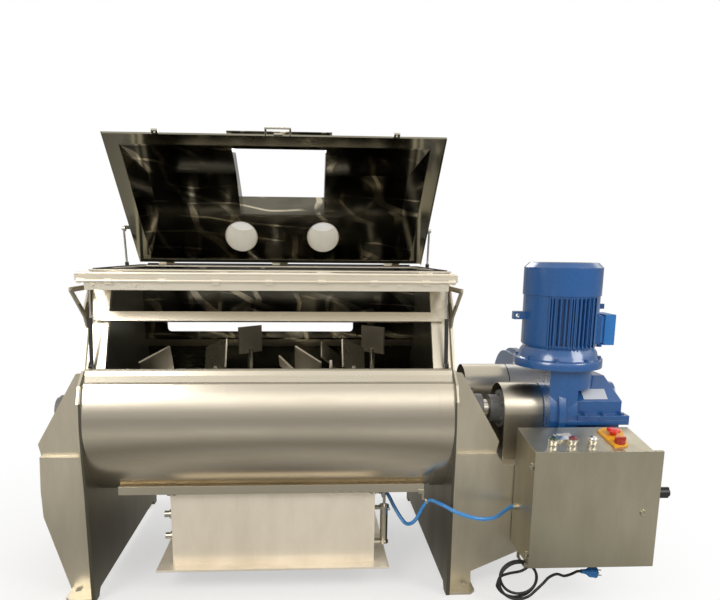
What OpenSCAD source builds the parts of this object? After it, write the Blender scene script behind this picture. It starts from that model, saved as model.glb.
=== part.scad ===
// Twin-shaft horizontal mixer on two end plates, with a hinged lid, a folding
// front door, bomb-bay discharge doors, a vertical gearmotor and a control box.
// X runs along the shafts to the drive end, Y to the back, Z up, floor at Z = 0.

/* [Output] */
// Node to build, or all

/* [Trough] */
// Length over the outside faces of the end plates
trough_length = 1500; // [1300:10:1700]
// Thickness of the end plates
plate_t = 16; // [10:1:20]
// Inside radius of each half of the trough
bore_r = 334; // [310:1:345]
// Wall of the rolled trough
wall = 6; // [4:1:8]
// Distance between the two shafts
shaft_spacing = 480; // [460:5:520]
// Height of the shafts above the floor
shaft_z = 745; // [720:5:780]

/* [Rotors] */
// Diameter of the shafts
shaft_d = 80; // [60:5:90]
// Distance between two paddle stations
paddle_pitch = 210; // [190:5:215]
// Width of a paddle plate
paddle_w = 150; // [100:5:160]
// Height of a paddle plate
paddle_h = 136; // [90:2:150]
// Angle of the paddles to the shaft
paddle_angle = 45; // [30:5:60]

/* [Lid] */
// Angle the lid stands open
lid_open = 45; // [0:5:45]
// Depth of the lid from its hinge to its front edge
lid_depth = 800; // [780:5:810]
// Height of the raised middle of the lid
lid_rise = 60; // [30:5:80]

/* [Drive] */
// Outside radius of the coupling guards
guard_r = 118; // [105:1:130]
// Radius of the motor's fan cowl
cowl_r = 164; // [150:2:180]

/* [Control box] */
// Width of the box
box_w = 474; // [400:2:500]
// Height of the box at its front
box_h = 475; // [400:5:500]
// Rise of the sloping top from front to back
box_slope = 36; // [0:2:50]

/* [Hidden] */
xo = trough_length / 2;
xi = xo - plate_t;
r_out = bore_r + wall;
ys = shaft_spacing / 2;
lean = 66;
door_y = ys + 170;
door_z = shaft_z - 318;
lid_y = 460;
lid_z = 1372;
flap_y = -342;
flap_z = 1348;
fold_y = -580;
fold_z = 1325;
motor_x = 1255;
motor_y = -274;
box_x = 1028;
box_top = 205 + box_h;
slope = atan(box_slope / 220);
sweep_r = bore_r - 12;

module round(r, h) { cylinder(r = r, h = h, $fn = 96); }
module rod(r, h) { cylinder(r = r, h = h, $fn = 32); }
// Extrudes a Y-Z outline from x0 to x1
module yz(x0, x1) { translate([x0, 0, 0]) rotate([90, 0, 90]) linear_extrude(x1 - x0) children(); }
// Extrudes an X-Z outline from y0 to y1
module xz(y0, y1) { translate([0, y1, 0]) rotate([90, 0, 0]) linear_extrude(y1 - y0) children(); }
// A round bar along X
module bar_x(x0, x1, y, z, r) { translate([x0, y, z]) rotate([0, 90, 0]) cylinder(r = r, h = x1 - x0, $fn = r > 20 ? 96 : 32); }
module both_y() { children(); mirror([0, 1, 0]) children(); }
module both_x() { children(); mirror([1, 0, 0]) children(); }
module block(a, b) { translate(a) cube(b - a); }

// ---- smooth tube through hand-placed points -------------------------------
function cr(a, b, c, d, t) = 0.5 * ((2 * b) + (c - a) * t + (2 * a - 5 * b + 4 * c - d) * t * t + (3 * b - a - 3 * c + d) * t * t * t);
function path(p, k) = let (n = len(p)) concat([for (i = [0:n - 2], j = [0:k - 1])
    cr(p[max(i - 1, 0)], p[i], p[i + 1], p[min(i + 2, n - 1)], j / k)], [p[n - 1]]);
function unit(v) = v / norm(v);
function tangent(q, i) = unit(q[min(i + 1, len(q) - 1)] - q[max(i - 1, 0)]);
function side(t) = unit(cross(t, abs(t[2]) > 0.9 ? [0, 1, 0] : [0, 0, 1]));
function moved(s, t) = unit(s - t * (s * t));
function frames(q, i = 0, acc = []) = i == len(q) ? acc
    : frames(q, i + 1, concat(acc, [i == 0 ? side(tangent(q, 0)) : moved(acc[i - 1], tangent(q, i))]));
module tube(p, r, k = 6, n = 12) {
    q = path(p, k);
    f = frames(q);
    m = len(q);
    pts = [for (i = [0:m - 1], j = [0:n - 1]) q[i] + r * (cos(j * 360 / n) * f[i] + sin(j * 360 / n) * cross(tangent(q, i), f[i]))];
    polyhedron(pts, concat(
        [for (i = [0:m - 2], j = [0:n - 1]) [i * n + j, (i + 1) * n + j, (i + 1) * n + (j + 1) % n, i * n + (j + 1) % n]],
        [[for (j = [0:n - 1]) j]], [[for (j = [n - 1:-1:0]) (m - 1) * n + j]]), convexity = 6);
}

// ---- end plates and legs ---------------------------------------------------
module plate_outline() {
    difference() {
        polygon([[-550, 0], [-500, 0], [-480, 30], [480, 30], [500, 0], [550, 0], [566, 480], [580, 640], [584, 760],
            [577, 850], [548, 915], [486, 966], [456, 1354], [-317, 1354], [-322, 1340], [-486, 966],
            [-548, 915], [-577, 850], [-584, 760], [-580, 640], [-566, 480]]);
        for (s = [-1, 1]) translate([s * ys, shaft_z]) circle(r = shaft_d / 2 + 2, $fn = 96);
    }
}
module end_plate() {
    yz(xi, xo) plate_outline();
    yz(738, 746) difference() {
        polygon([[-576, 1300], [-300, 1300], [-300, 1280], [-400, 1100], [-440, 1175], [-576, 1286]]);
        polygon([[-542, 1281], [-370, 1281], [-440, 1202]]);
    }
    bar_x(xo - 2, 758, 340, 1180, 9);
}
module end_plate_left() { color("silver") mirror([1, 0, 0]) end_plate(); }
module end_plate_right() { color("silver") end_plate(); }

module upper_gusset() {
    both_y() xz(-441, -435) polygon([[xo, 600], [xo, 948], [790, 945], [962, 650], [952, 600]]);
    block([xo, -461, 594], [952, 461, 600]);
}
module foot_pad() {
    both_x() both_y() difference() {
        linear_extrude(12) polygon([[xo, -548], [840, -548], [862, -526], [862, -430], [xo, -430]]);
        translate([830, -470, -1]) rod(13, 14);
    }
}
module leg_gussets() {
    color("silver") {
        mirror([1, 0, 0]) {
            upper_gusset();
            both_y() xz(-461, -455) polygon([[xo, 12], [862, 12], [955, 340], [958, 455], [952, 594], [xo, 594]]);
        }
        upper_gusset();
        foot_pad();
    }
}

// ---- trough ----------------------------------------------------------------
module lobes(r) { for (s = [-1, 1]) translate([s * ys, shaft_z]) circle(r = r, $fn = 180); }
module trough_shell() {
    color("gainsboro") difference() {
        union() {
            yz(-xi, xi) difference() {
                intersection() { lobes(r_out); translate([-700, 300]) square([1400, 619]); }
                lobes(bore_r);
            }
            yz(672, xi) difference() {
                intersection() { lobes(r_out + 2); translate([-700, 300]) square([1400, 619]); }
                lobes(r_out - 1);
            }
        }
        yz(-422, 422) for (s = [-1, 1]) translate([s * ys, shaft_z])
            polygon([[0, 0], [-400 * tan(28), -400], [400 * tan(28), -400]]);
    }
}
module trough_rims() {
    color("silver") both_y() yz(-xi, xi)
        polygon([[-532, 919], [-516, 919], [-498, 945], [-488, 962], [-488, 966], [-493, 966], [-503, 948], [-521, 925], [-532, 925]]);
}

// ---- hood --------------------------------------------------------------------
module on_front() { translate([0, -480.5, 968]) rotate([lean, 0, 0]) children(); }
module hood_front() {
    color("silver") {
        on_front() {
            difference() {
                translate([-xi, 0, -3]) cube([2 * xi, 400, 3]);
                translate([-660, -5, -4]) cube([1320, 350, 5]);
            }
            difference() {
                translate([-663, 40, -22]) cube([1326, 308, 20]);
                translate([-660, 30, -23]) cube([1320, 315, 22]);
            }
            translate([-705, 200, 0]) cube([1410, 40, 18]);
            for (s = [-1, 1]) translate([s * 720 - 2, 0, 0]) cube([4, 28, 28]);
        }
        block([-xi, -488, 962], [xi, -477, 972]);
        block([-xi, -322, 1328], [xi, -298, 1354]);
        for (x = [-640, -215, 215, 640]) {
            block([x - 30, -342, 1343], [x, -321, 1354]);
            bar_x(x - 30, x, flap_y, flap_z, 6);
            bar_x(x - 34, x + 34, flap_y, flap_z, 3);
        }
    }
}
module hood_rear() {
    color("silver") {
        translate([0, 486, 968]) rotate([90 + atan(30 / 388), 0, 0]) difference() {
            translate([-xi, 0, 0]) cube([2 * xi, 387, 3]);
            translate([-108, 82, -1]) linear_extrude(5) {
                square([1008, 50], center = true);
                square([968, 90], center = true);
                for (x = [-484, 484], y = [-25, 25]) translate([x, y]) circle(r = 20, $fn = 48);
            }
        }
        block([-xi, 481, 960], [xi, 488, 970]);
    }
}
module lid_seat() {
    color("gray") lid_hinge_pins();
    color("silver") difference() {
        block([-752, -326, 1354], [752, 464, 1360]);
        block([-700, -296, 1350], [700, 410, 1364]);
    }
}
module seat_gasket() {
    color("dimgray") difference() {
        block([-736, -318, 1360], [736, 444, 1364.5]);
        block([-722, -304, 1359], [722, 430, 1366]);
    }
}

// ---- discharge ----------------------------------------------------------------
module under_lobes(a, b) { difference() { block(a, b); yz(-xo, xo) lobes(r_out); } }
module chute_rails() {
    color("silver") both_y() difference() {
        union() {
            under_lobes([-640, -470, 436], [640, -440, 472]);
            for (x = [-415, 415]) translate([x, -455, 428]) rod(9, 9);
        }
        block([-636, -466, 430], [636, -444, 466]);
    }
}
module discharge_chute() {
    color("silver") {
        difference() {
            block([-434, -440, 106], [434, 440, 560]);
            block([-430, -436, 100], [430, 436, 570]);
            yz(-450, 450) lobes(r_out);
            for (s = [-1, 1]) bar_x(-450, 450, s * door_y, door_z, 17);
        }
        difference() {
            block([-494, -500, 102], [494, 500, 110]);
            block([-432, -438, 100], [432, 438, 112]);
        }
        both_y() for (x = [-330, -110, 110, 330]) translate([x, -470, 98]) rod(7, 4.5);
    }
}
module door_bearings() {
    color("dimgray") both_x() both_y() {
        difference() {
            union() {
                bar_x(434, 441, -door_y, door_z, 20);
                bar_x(441, 452, -door_y, door_z, 18);
            }
            bar_x(430, 460, -door_y, door_z, 14.08);
        }
    }
    color("silver") {
        mirror([1, 0, 0]) for (z = [220, 320]) {
            bar_x(434, 448, -395, z, 20);
            bar_x(448, 470, -395, z, 14);
        }
        bar_x(434, 460, -300, 385, 11);
    }
}
module leaf_door() {
    yz(-420, 420) translate([-ys, shaft_z]) intersection() {
        difference() { circle(r = r_out, $fn = 180); circle(r = bore_r, $fn = 180); }
        polygon([[0, 0], [-400 * tan(27.6), -400], [400 * tan(27.6), -400]]);
    }
    for (x = [-380, 0, 380]) yz(x - 5, x + 5) {
        translate([-ys, shaft_z]) intersection() {
            difference() { circle(r = 362, $fn = 180); circle(r = r_out - 3, $fn = 180); }
            polygon([[0, 0], [-400 * tan(26), -400], [400 * tan(25), -400]]);
        }
        translate([-door_y, door_z]) circle(r = 18, $fn = 48);
    }
    bar_x(-456, 463, -door_y, door_z, 14);
    yz(453, 463) {
        translate([-door_y, door_z]) circle(r = 19, $fn = 48);
        translate([-door_y, door_z]) rotate(-20) {
            translate([60, 0]) circle(r = 12, $fn = 48);
            polygon([[0, -18], [62, -12], [62, 12], [0, 14]]);
        }
    }
}
module discharge_door_front() { color("gainsboro") leaf_door(); }
module discharge_door_rear() { color("gainsboro") mirror([0, 1, 0]) leaf_door(); }
module air_cylinders() {
    color("silver") both_y() {
        difference() {
            union() {
                translate([485, -354, 160]) round(17, 170);
                translate([485, -354, 322]) round(22, 10);
                translate([485, -354, 155]) round(22, 10);
                bar_x(485, 512, -354, 312, 6);
                block([434, -368, 158], [485, -340, 168]);
                block([434, -368, 316], [485, -340, 326]);
            }
            translate([485, -354, 168]) rod(6.08, 170);
        }
    }
}
module cylinder_rods() {
    color("gray") both_y() {
        translate([485, -354, 262]) rod(6, 140);
        block([476, -366, 394], [494, -342, 418]);
        difference() {
            block([466, -426, 394], [477, -342, 418]);
            block([465, -418, 401], [478, -350, 412]);
        }
    }
}

// ---- rotors ---------------------------------------------------------------------
module rotor_shaft(s, shift, phase) {
    translate([0, s * ys, shaft_z]) {
        difference() { bar_x(-930, 1048, 0, 0, shaft_d / 2); bar_x(-931, -905, 0, 0, 10); }
        for (k = [0:5]) translate([-525 + k * paddle_pitch + shift, 0, 0]) rotate([phase + 60 * k * s, 0, 0]) {
            difference() {
                bar_x(-36, 36, 0, 0, 58);
                bar_x(-40, 40, 0, 0, shaft_d / 2 - 1);
            }
            for (a = [0, 180]) rotate([a, 0, 0]) {
                translate([0, 0, 50]) rod(14, 150);
                translate([0, 0, 50]) rod(20, 30);
            }
        }
    }
}
module rotor_paddles(s, shift, phase) {
    translate([0, s * ys, shaft_z])
        for (k = [0:5]) translate([-525 + k * paddle_pitch + shift, 0, 0]) rotate([phase + 60 * k * s, 0, 0])
            for (a = [0, 180]) rotate([a, 0, 0]) rotate([0, 0, (k % 2 == 0 ? 1 : -1) * paddle_angle])
                difference() {
                    translate([-paddle_w / 2, -4, 180]) cube([paddle_w, 8, paddle_h]);
                    rotate([0, 0, -(k % 2 == 0 ? 1 : -1) * paddle_angle]) translate([0, 0, 50]) rod(14, 150);
                }
}
module rotor_front_shaft() { color("silver") rotor_shaft(-1, 42, 30); }
module rotor_front_paddles() { color("gainsboro") rotor_paddles(-1, 42, 30); }
module rotor_rear_shaft() { color("silver") rotor_shaft(1, -42, -120); }
module rotor_rear_paddles() { color("gainsboro") rotor_paddles(1, -42, -120); }

module coupling() {
    difference() {
        union() {
            bar_x(962, 1050, 0, 0, 62);
            bar_x(1012, 1050, 0, 0, 84);
            bar_x(1050, 1066, 0, 0, 78);
            bar_x(1066, 1104, 0, 0, 84);
            bar_x(1066, 1160, 0, 0, 62);
            bar_x(1150, 1212, 0, 0, 34);
            for (a = [0:60:300]) rotate([a, 0, 0]) bar_x(1000, 1116, 0, 68, 9);
        }
        bar_x(950, 1048, 0, 0, shaft_d / 2);
    }
}
module seal_housing() {
    difference() {
        union() {
            bar_x(xo, xo + 12, 0, 0, 92);
            bar_x(xo + 12, xo + 48, 0, 0, 68);
            for (a = [30:60:330]) rotate([a, 0, 0]) bar_x(xo + 12, xo + 20, 0, 80, 7);
        }
        bar_x(xo - 1, xo + 60, 0, 0, shaft_d / 2 + 0.5);
    }
    translate([xo + 34, 0, 60]) rod(7, 60);
}
module coupling_front() { color("dimgray") translate([0, -ys, shaft_z]) coupling(); }
module coupling_rear() { color("dimgray") translate([0, ys, shaft_z]) rotate([30, 0, 0]) coupling(); }
module shaft_seals() {
    color("silver") both_x() for (s = [-1, 1]) translate([0, s * ys, shaft_z]) seal_housing();
}
module bearing_block(closed) {
    difference() {
        union() {
            bar_x(846, 930, 0, 0, 66);
            block([856, -66, 600 - shaft_z], [920, 66, 0]);
            block([846, -112, 600 - shaft_z], [930, 112, 628 - shaft_z]);
        }
        bar_x(840, closed ? 934 : 940, 0, 0, shaft_d / 2 + 0.08);
    }
    if (closed) bar_x(932, 944, 0, 0, 56);
    translate([888, 0, 62]) rod(6, 34);
    for (s = [-1, 1]) translate([888, s * 92, 628 - shaft_z]) cylinder(r = 14, h = 12, $fn = 6);
}
module shaft_bearings() {
    color("slategray") {
        for (s = [-1, 1]) translate([0, s * ys, shaft_z]) bearing_block(false);
        mirror([1, 0, 0]) for (s = [-1, 1]) translate([0, s * ys, shaft_z]) bearing_block(true);
    }
}
module coupling_guards() {
    color("silver") for (s = [-1, 1]) translate([0, s * ys, 0]) difference() {
        union() {
            yz(s < 0 ? 1006 : 952, 1178) union() {
                translate([0, shaft_z]) circle(r = guard_r, $fn = 128);
                translate([-guard_r, 548]) square([2 * guard_r, shaft_z - 548]);
            }
            block([s < 0 ? 1006 : 988, -guard_r - 22, 548], [1176, guard_r + 22, 551]);
        }
        yz(940, 1190) union() {
            translate([0, shaft_z]) circle(r = guard_r - 2, $fn = 128);
            translate([2 - guard_r, 500]) square([2 * guard_r - 4, shaft_z - 500]);
        }
    }
}

// ---- drive -------------------------------------------------------------------
module drive_base() {
    color("silver") {
        both_y() xz(-461, -455) polygon([[xo, 12], [862, 12], [860, 62], [1600, 393], [1600, 548], [985, 548], [952, 594], [xo, 594]]);
        block([985, -455, 536], [1600, 455, 548]);
        block([1592, -455, 393], [1600, 455, 536]);
        both_y() block([xo, -455, 60], [xo + 8, -340, 594]);
        for (x = [1180, 1390]) xz(-455, 455) polygon([[x, 300], [x + 8, 300], [x + 8, 536], [x, 536]]);
        for (x = [1000, 1300], y = [-60, 60]) block([x, y - 4, 400], [1590, y + 4, 536]);
    }
}
module gear_case() {
    color("royalblue") difference() {
        union() {
            for (s = [-1, 1]) bar_x(1180, 1300, s * ys, shaft_z, 190);
            block([1180, -ys, 552], [1300, ys, 935]);
            for (s = [-1, 1]) bar_x(1216, 1246, s * ys, shaft_z, 203);
            block([1216, -ys, 548], [1246, ys, 948]);
            block([1180, -430, 548], [1300, 430, 566]);
            block([1298, -400, 548], [1500, 400, 720]);
            block([1251, -432, 715], [1527, 432, 735]);
            translate([motor_x, motor_y, 790]) round(150, 163);
        }
        for (s = [-1, 1]) {
            bar_x(1170, 1214, s * ys, shaft_z, 34.08);
            bar_x(1170, 1186, s * ys, shaft_z, 72);
        }
        block([1300.5, -440, 735], [1560, 440, 861]);
        block([1050, -480, 780], [1180, 0, 960]);
        block([1100, -500, 500], [1700, 500, 548]);
    }
}
module gear_cover() {
    color("royalblue") {
        nameplate();
        block([1301, -432, 735], [1527, 432, 755]);
        difference() {
            hull() {
                block([1302, -400, 750], [1504, 400, 812]);
                block([1302, -290, 812], [1467, 290, 905]);
            }
            translate([motor_x, motor_y, 860]) round(151, 120);
        }
        for (s = [-1, 1]) bar_x(1490, 1527, s * ys, shaft_z + 67, 54);
        for (x = [1340, 1420, 1500], s = [-1, 1]) translate([x, s * 418, 755]) cylinder(r = 11, h = 10, $fn = 6);
    }
}
module nameplate() {
    translate([1336, -400, 812]) rotate([atan(93 / 110), 0, 0]) translate([0, 8, -1]) cube([110, 60, 2.5]);
}
module motor_body() {
    color("royalblue") translate([motor_x, motor_y, 953]) difference() {
        union() {
            round(188, 36);
            cylinder(r1 = 170, r2 = 146, h = 88, $fn = 96);
            round(146, 309);
            for (a = [22.5:45:337.5]) rotate([0, 0, a]) translate([170, 0, 36]) cylinder(r = 11, h = 12, $fn = 6);
            intersection() {
                translate([0, 0, 92]) round(cowl_r + 4, 212);
                for (x = [-100:20:100]) translate([x - 2.5, -200, 90]) cube([5, 400, 216]);
            }
            translate([120, -58, 96]) cube([42, 116, 128]);
            rotate([0, 0, 180]) translate([120, -16, 202]) cube([90, 32, 34]);
            translate([120, -8, 248]) cube([72, 16, 22]);
        }
        translate([-194, 30, 219]) rotate([90, 0, 0]) rod(9, 60);
        translate([0, 0, 258]) rod(16.08, 60);
    }
}
module fan_cowl() {
    color("royalblue") translate([motor_x, motor_y, 1262]) difference() {
        union() {
            round(cowl_r, 118);
            translate([0, 0, 118]) cylinder(r1 = cowl_r, r2 = cowl_r - 20, h = 20, $fn = 96);
        }
        translate([0, 0, -1]) round(cowl_r - 3, 120);
        translate([0, 0, 110]) round(cowl_r - 24, 24);
        for (r = [34:18:124]) translate([0, 0, 130]) difference() {
            round(r + 5, 20);
            translate([0, 0, -1]) round(r - 5, 22);
            for (a = [0:45:315]) rotate([0, 0, a]) translate([0, -4, -1]) cube([200, 8, 22]);
        }
    }
}
module cooling_fan() {
    color("dimgray") translate([motor_x, motor_y, 0]) {
        translate([0, 0, 1214]) rod(16, 130);
        translate([0, 0, 1290]) round(38, 46);
        translate([0, 0, 1288]) round(134, 4);
        for (a = [0:36:324]) rotate([0, 0, a]) translate([36, -2, 1292]) cube([96, 4, 40]);
    }
}
module terminal_box() {
    color("steelblue") {
        block([motor_x + 162, motor_y - 56, 1056], [motor_x + 176, motor_y + 56, 1172]);
        block([motor_x + 176, motor_y - 62, 1048], [motor_x + 223, motor_y + 62, 1180]);
        translate([motor_x + 200, motor_y + 30, 1028]) rod(12, 20);
    }
}
// ---- control box ----------------------------------------------------------------
module box_side(g) { polygon([[-690 + g, 205 + g], [-470 - g, 205 + g], [-470 - g, box_top + box_slope - g], [-690 + g, box_top - g]]); }
module on_top(x, d) { translate([x, -690, box_top]) rotate([slope, 0, 0]) translate([0, d, 0]) children(); }
module control_box() {
    color("lightslategray") {
        difference() {
            yz(box_x, box_x + box_w) box_side(0);
            yz(box_x + 2, box_x + box_w - 2) intersection() { box_side(2); translate([-700, 100]) square([226, 700]); }
            block([box_x + 14, -700, 219], [box_x + box_w - 14, -680, box_top - 14]);
            for (p = [[86, 48], [165, 48], [246, 48], [362, 58], [370, 136]]) on_top(box_x + p[0], p[1]) translate([0, 0, -10]) rod(11, 20);
            bar_x(box_x + box_w - 10, box_x + box_w + 5, -640, 488, 8);
            translate([1070, -600, 200]) rod(10, 10);
        }
        for (z = [256, 623]) {
            block([box_x - 18, -691.5, z - 14], [box_x + 1, -684, z - 2]);
            block([box_x - 17, -698, z - 14], [box_x - 9, -686, z - 2]);
            translate([box_x - 13, -698, z - 14]) rod(4, 12);
            translate([box_x - 13, -698, z - 16]) rod(2.5, 32);
        }
        bar_x(box_x - 16, box_x + 1, -520, 385, 12);
        block([1030, -560, 170.5], [1040, -548, 206]);
        block([1030, -646, 170.5], [1040, -548, 175.2]);
        block([1030, -646, 170.5], [1040, -640, 192]);
        block([1322, -612, 149.5], [1332, -600, 206]);
    }
}
module box_bracket() {
    color("gray") hose_clip();
    color("silver") for (z = [290, 480]) difference() {
        block([box_x + 12, -470, z], [box_x + box_w - 12, -461, z + 40]);
        for (x = [box_x + 60, box_x + box_w - 60]) translate([x, -460, z + 20]) rotate([90, 0, 0]) rod(5, 12);
    }
}
module box_internals() {
    color("tan") {
        block([box_x + 30, -480, 240], [box_x + box_w - 30, -477, 640]);
        for (x = [box_x + 60, box_x + box_w - 80], z = [260, 600]) block([x, -477, z], [x + 20, -474, z + 20]);
        for (z = [290, 420, 550]) block([box_x + 60, -488, z], [box_x + box_w - 60, -480, z + 35]);
        for (i = [0:3]) block([box_x + 80 + i * 70, -560, 535], [box_x + 132 + i * 70, -488, 610]);
        for (i = [0:2]) block([box_x + 80 + i * 100, -570, 400], [box_x + 156 + i * 100, -488, 480]);
        for (i = [0:17]) block([box_x + 80 + i * 16, -530, 285], [box_x + 93 + i * 16, -488, 335]);
    }
}
module box_door() {
    color("lightslategray") difference() {
        union() {
            block([box_x - 4, -706, 200], [box_x + box_w + 34, -703, box_top + 4]);
            difference() {
                block([box_x - 4, -706, 200], [box_x + box_w + 34, -692, box_top + 4]);
                block([box_x - 1, -707, 203], [box_x + box_w + 31, -690, box_top + 1]);
            }
            for (z = [256, 623]) {
                block([box_x - 13, -702, z + 1], [box_x - 3, -697, z + 13]);
                translate([box_x - 13, -698, z + 1]) difference() { rod(5, 12); translate([0, 0, -1]) rod(2.56, 14); }
            }
        }
        for (z = [256, 623]) translate([box_x - 13, -698, z]) rod(2.56, 14);
        translate([1475, -700, 430]) rotate([90, 0, 0]) rod(8.4, 10);
    }
    color("gray") door_lock();
}
module door_lock() {
    translate([1475, 0, 430]) {
        translate([0, -690, 0]) rotate([90, 0, 0]) rod(8.5, 20);
        translate([0, -706, 0]) rotate([90, 0, 0]) difference() { rod(13, 5); translate([-2, -7, 3]) cube([4, 14, 4]); }
        block([-8, -694, -8], [30, -691, 8]);
    }
}
module panel_fittings() {
    color("gray") {
        for (p = [[86, 48], [165, 48], [246, 48]]) on_top(box_x + p[0], p[1]) difference() {
            union() { rod(16, 5); rod(13, 26); translate([0, 0, -14]) rod(10.8, 14); }
            translate([0, 0, -20]) rod(5.58, 60);
        }
        on_top(box_x + 156, 112) difference() {
            translate([-32, -30, 0]) cube([64, 60, 12]);
            translate([-26, -24, 8]) cube([52, 48, 6]);
        }
        difference() {
            union() {
                bar_x(box_x + box_w, box_x + box_w + 6, -640, 488, 30);
                bar_x(box_x + box_w, box_x + box_w + 34, -640, 488, 20);
            }
            bar_x(box_x + box_w - 1, box_x + box_w + 40, -640, 488, 7.08);
        }
        translate([1070, -600, 188]) rod(9, 30);
        translate([1070, -600, 193]) cylinder(r = 14, h = 12, $fn = 6);
    }
}
module estop_plate() {
    color("gold") on_top(box_x, 0) difference() {
        linear_extrude(8) polygon([[325, 179], [360, 203], [431, 190], [389, 41], [330, 29]]);
        for (p = [[362, 58], [370, 136]]) translate([p[0], p[1], -1]) rod(10.08, 12);
    }
}
module push_button(x) { on_top(box_x + x, 48) { translate([0, 0, 34]) rod(19, 11); translate([0, 0, -16]) rod(5.5, 52); } }
module button_start() { color("darkgreen") push_button(86); }
module button_stop() { color("firebrick") push_button(165); }
module button_jog() { color("silver") push_button(246); }
module estop_button() { color("red") on_top(box_x + 370, 136) { translate([0, 0, 22]) round(27, 10); translate([0, 0, -14]) rod(10, 38); } }
module selector_knob() {
    color("orangered") on_top(box_x + 362, 58) {
        translate([0, 0, 8.4]) round(21, 18);
        translate([-21, -5, 20]) cube([42, 10, 14]);
        translate([0, 0, -14]) rod(10, 26);
    }
}
module isolator_knob() {
    color("dimgray") {
        bar_x(box_x + box_w + 36, box_x + box_w + 106, -640, 488, 17);
        bar_x(box_x + box_w - 8, box_x + box_w + 40, -640, 488, 7);
        block([box_x + box_w + 70, -645, 466], [box_x + box_w + 106, -635, 510]);
    }
}

// ---- lid ----------------------------------------------------------------------
// Lid coordinates: origin on the hinge, x along the hinge, y forward, z up when shut
module lid_frame() { translate([0, lid_y, lid_z]) rotate([-lid_open, 0, 0]) mirror([0, 1, 0]) children(); }
module roof(g) {
    hull() {
        translate([-676 + g, 36 + g, -8]) cube([1374 - 2 * g, 709 - 2 * g, 1]);
        translate([-600 + g, 278 + g / 2, lid_rise - 1 - g]) cube([1228 - 2 * g, 262 - g, 1]);
    }
}
module feed_hole() { translate([-190, 290, -20]) cube([423, 434, 400]); }
module lid_panel() {
    color("gainsboro") lid_frame() {
        difference() {
            union() {
                difference() {
                    translate([-736, 14, -7]) cube([1494, lid_depth - 14, 3]);
                    translate([-675, 37, -10]) cube([1372, 707, 10]);
                }
                difference() {
                    translate([-730, 14, -16]) cube([1488, lid_depth - 14, 10]);
                    translate([-740, 10, -17]) cube([1495, lid_depth - 13, 20]);
                }
                difference() { roof(0); roof(3); translate([-700, 0, -12]) cube([1400, 800, 5]); }
            }
            feed_hole();
            for (x = [-193, 227]) translate([x, 168, -20]) round(84, 100);
        }
        for (x = [-600, 0, 600]) {
            difference() {
                union() { translate([x + 1, 0, 0]) rotate([0, 90, 0]) rod(8, 40); translate([x + 1, 0, -7]) cube([40, 34, 6]); }
                translate([x, 0, 0]) rotate([0, 90, 0]) rod(4.08, 50);
            }
        }
        translate([-760, 244, -7]) cube([26, 20, 5]);
        translate([754, 244, -14]) cube([6, 20, 8]);
        for (x = [-760, 756]) translate([x, 244, 0]) rotate([0, 90, 0]) rod(8, 4);
        for (x = [-760, 756]) translate([x, 236, -14]) cube([4, 16, 14]);
    }
}
module lid_necks() {
    color("silver") lid_frame() difference() {
        for (x = [-193, 227]) translate([x, 168, 0]) difference() {
            union() { round(84, 160); translate([0, 0, 154]) round(95, 6); }
            translate([0, 0, -1]) round(81, 170);
        }
        roof(3);
    }
}
module neck_side(g) { polygon([[290 + g, 0], [724 - g, -6], [724 - g, 95], [290 + g, 190]]); }
module feed_neck() {
    color("silver") lid_frame() difference() {
        union() {
            yz(-190, 233) difference() { neck_side(0); translate([0, -1]) neck_side(3); translate([0, 30]) neck_side(3); }
            for (x = [-190, 230]) yz(x, x + 3) neck_side(0);
            yz(-215, 258) difference() { polygon([[265, 190], [265, 195.5], [749, 89.5], [749, 84]]); }
        }
        translate([-187, 293, -20]) cube([417, 428, 400]);
        roof(3);
    }
}
module port_caps() { color("white") lid_frame() for (x = [-193, 227]) translate([x, 168, 160]) round(93, 8); }
module lid_handle() {
    color("gray") lid_frame() {
        for (x = [-33, 73]) translate([x, lid_depth, -12]) rotate([-90, 0, 0]) rod(4.5, 36);
        translate([-37.5, lid_depth + 36, -12]) rotate([0, 90, 0]) rod(4.5, 115);
        translate([2, lid_depth, -17]) cube([36, 9, 10]);
        for (x = [-505, 535]) translate([x - 14, lid_depth, -18]) difference() { cube([28, 20, 12]); translate([10, 8, -1]) cube([8, 8, 14]); }
    }
}
module lid_hinge_pins() {
    for (x = [-600, 0, 600]) {
        block([x - 41, 459.8, 1312], [x - 1, 466, lid_z]);
        bar_x(x - 41, x - 1, lid_y, lid_z, 8);
        bar_x(x - 43, x + 43, lid_y, lid_z, 4);
    }
}
lid_spring_a = atan2(364.54, -52.53);
module along(y, z, a) { translate([0, y, z]) rotate([a - 90, 0, 0]) children(); }
module lid_spring_tubes() {
    color("dimgray") both_x() translate([768, 0, 0]) along(340, 1180, lid_spring_a) difference() {
        union() { translate([-9.8, 0, 0]) rotate([0, 90, 0]) rod(12, 20.3); translate([0, 0, 8]) rod(9.5, 192); }
        translate([0, 0, 30]) rod(5.08, 180);
    }
}
module lid_spring_rods() {
    color("silver") both_x() translate([768, 0, 0]) along(340, 1180, lid_spring_a) {
        translate([0, 0, 172]) rod(5, 190);
        translate([-7.5, 0, 368.3]) rotate([0, 90, 0]) rod(10, 16);
    }
}

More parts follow.
